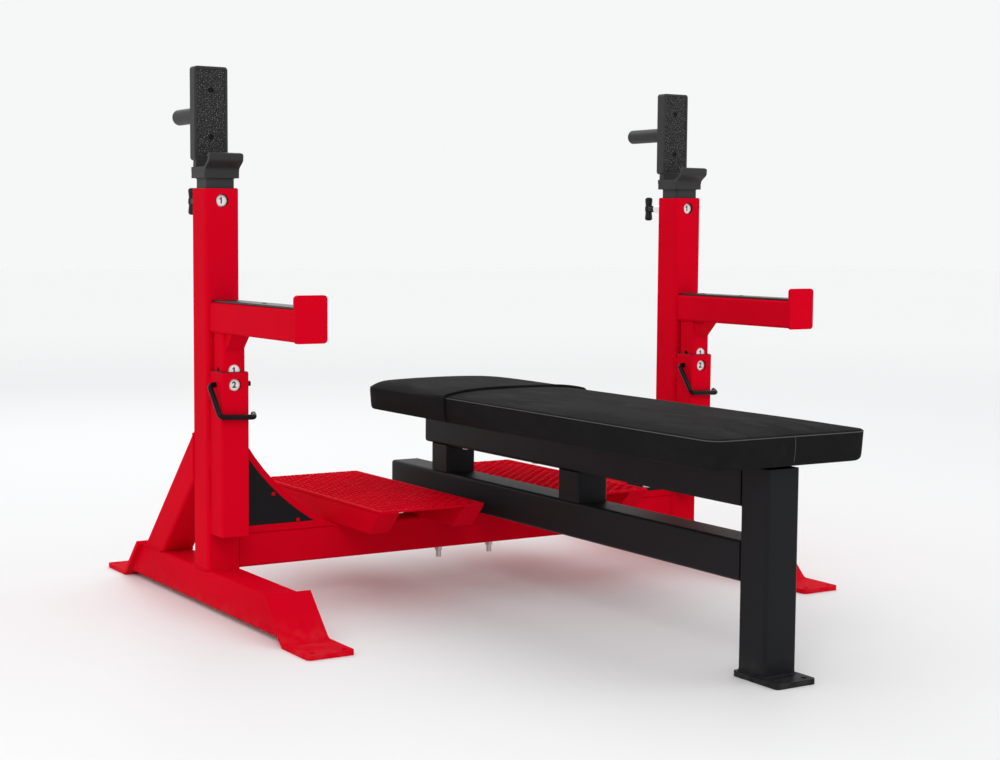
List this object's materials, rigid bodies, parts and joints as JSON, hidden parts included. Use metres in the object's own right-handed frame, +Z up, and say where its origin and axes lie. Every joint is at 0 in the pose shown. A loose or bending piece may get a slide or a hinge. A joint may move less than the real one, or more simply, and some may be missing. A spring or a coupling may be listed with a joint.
{
  "type": "olympic bench press",
  "caption": "Flat bench fixed to a welded rack frame with height-adjustable bar racks, safety arms, spotter decks and floor feet.",
  "frame": {"origin": "middle of the rack's floor bolts, on the floor midway between the two uprights", "axes": "+X to the right-hand upright as seen from the lifter's feet, +Y towards the head end, +Z up"},
  "size_m": [1.3281, 1.691, 1.1425],
  "materials": {
    "red_powder_coat": "semi-gloss powder coat",
    "charcoal_powder_coat": "satin powder coat",
    "black_powder_coat": "satin powder coat",
    "black_oxide_rod": "gloss black",
    "black_knob_plastic": "gloss",
    "chrome_plate": "polished",
    "zinc_plated_steel": "zinc plated",
    "black_rubber": "textured",
    "black_nylon": "matte",
    "plywood": "raw",
    "black_vinyl": "soft matte upholstery vinyl"
  },
  "bodies": {
    "frame": {"base_beam_left": "red_powder_coat", "base_beam_right": "red_powder_coat", "front_foot_left": "red_powder_coat", "front_foot_right": "red_powder_coat", "rear_foot_left": "red_powder_coat", "rear_foot_right": "red_powder_coat", "upright_left": "red_powder_coat", "upright_right": "red_powder_coat", "brace_left": "red_powder_coat", "brace_right": "red_powder_coat", "cross_member": "red_powder_coat", "receiver_left": "red_powder_coat", "receiver_right": "red_powder_coat", "gusset_left": "red_powder_coat", "gusset_right": "red_powder_coat", "gusset_panels": "black_powder_coat", "deck_tread_left": "red_powder_coat", "deck_tread_right": "red_powder_coat", "deck_rails_left": "red_powder_coat", "deck_rails_right": "red_powder_coat", "tube_liners": "black_nylon", "pull_pin_barrels": "chrome_plate", "pull_pin_springs": "zinc_plated_steel", "bench_mount_plate": "black_powder_coat", "bench_mount_bolts": "zinc_plated_steel", "bench_lower_beam": "black_powder_coat", "bench_upper_rail": "black_powder_coat", "bench_head_spacer": "black_powder_coat", "bench_mid_spacer": "black_powder_coat", "bench_leg": "black_powder_coat", "bench_foot_plate": "black_powder_coat", "bench_end_caps": "black_nylon", "pad_board": "plywood", "bench_pad": "black_vinyl", "pad_bolts": "zinc_plated_steel"},
    "pull_pin_left": {"pull_plunger_left": "chrome_plate", "pull_knob_left": "black_knob_plastic"},
    "pull_pin_right": {"pull_plunger_right": "chrome_plate", "pull_knob_right": "black_knob_plastic"},
    "hitch_pin_left": {"hitch_pin_left": "black_oxide_rod"},
    "hitch_pin_right": {"hitch_pin_right": "black_oxide_rod"},
    "rack_left": {"rack_post_left": "charcoal_powder_coat", "rack_saddle_left": "charcoal_powder_coat", "rack_tray_left": "charcoal_powder_coat", "rack_pad_left": "black_rubber", "rack_peg_left": "charcoal_powder_coat"},
    "rack_right": {"rack_post_right": "charcoal_powder_coat", "rack_saddle_right": "charcoal_powder_coat", "rack_tray_right": "charcoal_powder_coat", "rack_pad_right": "black_rubber", "rack_peg_right": "charcoal_powder_coat"},
    "safety_left": {"safety_post_left": "red_powder_coat", "safety_arm_left": "red_powder_coat", "arm_end_left": "red_powder_coat", "arm_strip_left": "black_nylon"},
    "safety_right": {"safety_post_right": "red_powder_coat", "safety_arm_right": "red_powder_coat", "arm_end_right": "red_powder_coat", "arm_strip_right": "black_nylon"}
  },
  "joints": [
    {"name": "rack_lift_left", "type": "slide", "parent": "frame", "child": "rack_left", "axis": [0, 0, 1], "range_m": [0, 0.18]},
    {"name": "safety_lift_left", "type": "slide", "parent": "frame", "child": "safety_left", "axis": [0, 0, 1], "range_m": [-0.03, 0.15]},
    {"name": "pull_pin_left", "type": "slide", "parent": "frame", "child": "pull_pin_left", "axis": [0, 1, 0], "range_m": [0, 0.015], "stiffness_N_per_m": 1000, "springref_m": -0.01, "deforming": ["pull_pin_springs"]},
    {"name": "hitch_swing_left", "type": "hinge", "parent": "frame", "child": "hitch_pin_left", "pos_m": [-0.6135, -0.0685, 0.481], "axis": [-1, 0, 0], "range_deg": [0, 90]},
    {"name": "rack_lift_right", "type": "slide", "parent": "frame", "child": "rack_right", "axis": [0, 0, 1], "range_m": [0, 0.18]},
    {"name": "safety_lift_right", "type": "slide", "parent": "frame", "child": "safety_right", "axis": [0, 0, 1], "range_m": [-0.03, 0.15]},
    {"name": "pull_pin_right", "type": "slide", "parent": "frame", "child": "pull_pin_right", "axis": [0, 1, 0], "range_m": [0, 0.015], "stiffness_N_per_m": 1000, "springref_m": -0.01},
    {"name": "hitch_swing_right", "type": "hinge", "parent": "frame", "child": "hitch_pin_right", "pos_m": [0.6135, -0.0685, 0.481], "axis": [-1, 0, 0], "range_deg": [0, 90]}
  ]
}
